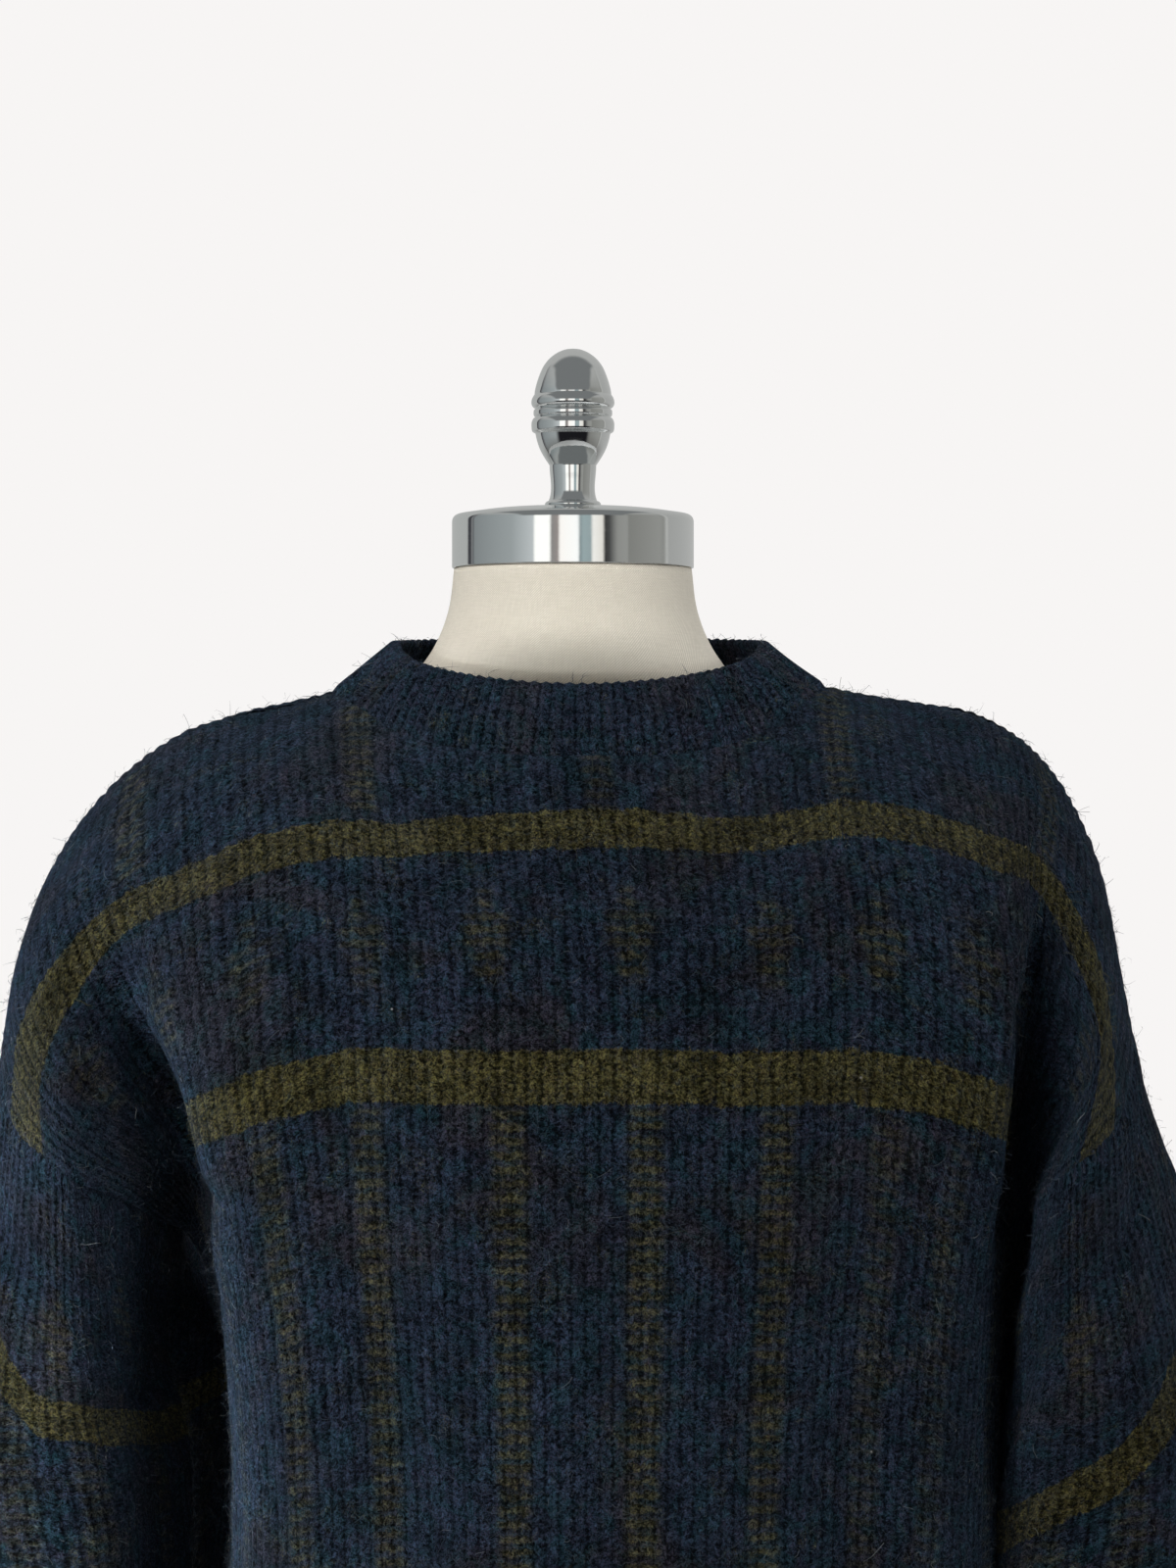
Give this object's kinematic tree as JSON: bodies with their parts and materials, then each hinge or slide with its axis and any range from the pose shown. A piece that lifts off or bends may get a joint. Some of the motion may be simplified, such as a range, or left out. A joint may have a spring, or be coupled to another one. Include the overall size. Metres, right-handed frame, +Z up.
{
  "type": "wool sweater on a dress form",
  "caption": "Wide crew-neck knitted wool sweater with dropped shoulders and ribbed edges, worn on a limbless linen dress form with a chrome cap and finial on a pole stand.",
  "frame": {"origin": "the middle of the base plate's underside", "axes": "+Z up, the front faces -Y, and +X is the sweater's own left"},
  "size_m": [0.6072, 0.33, 1.5187],
  "materials": {
    "wool": "heathered, fuzzy knit",
    "linen": "plain matt weave",
    "chrome": "polished"
  },
  "bodies": {
    "root": {"front_panel": "wool", "back_panel": "wool", "right_sleeve": "wool", "left_sleeve": "wool", "right_cuff": "wool", "left_cuff": "wool", "collar_rib": "wool", "hem_rib": "wool", "form_torso": "linen", "neck_cap": "chrome", "finial": "chrome", "stand_pole": "chrome", "base_plate": "chrome"}
  },
  "joints": []
}
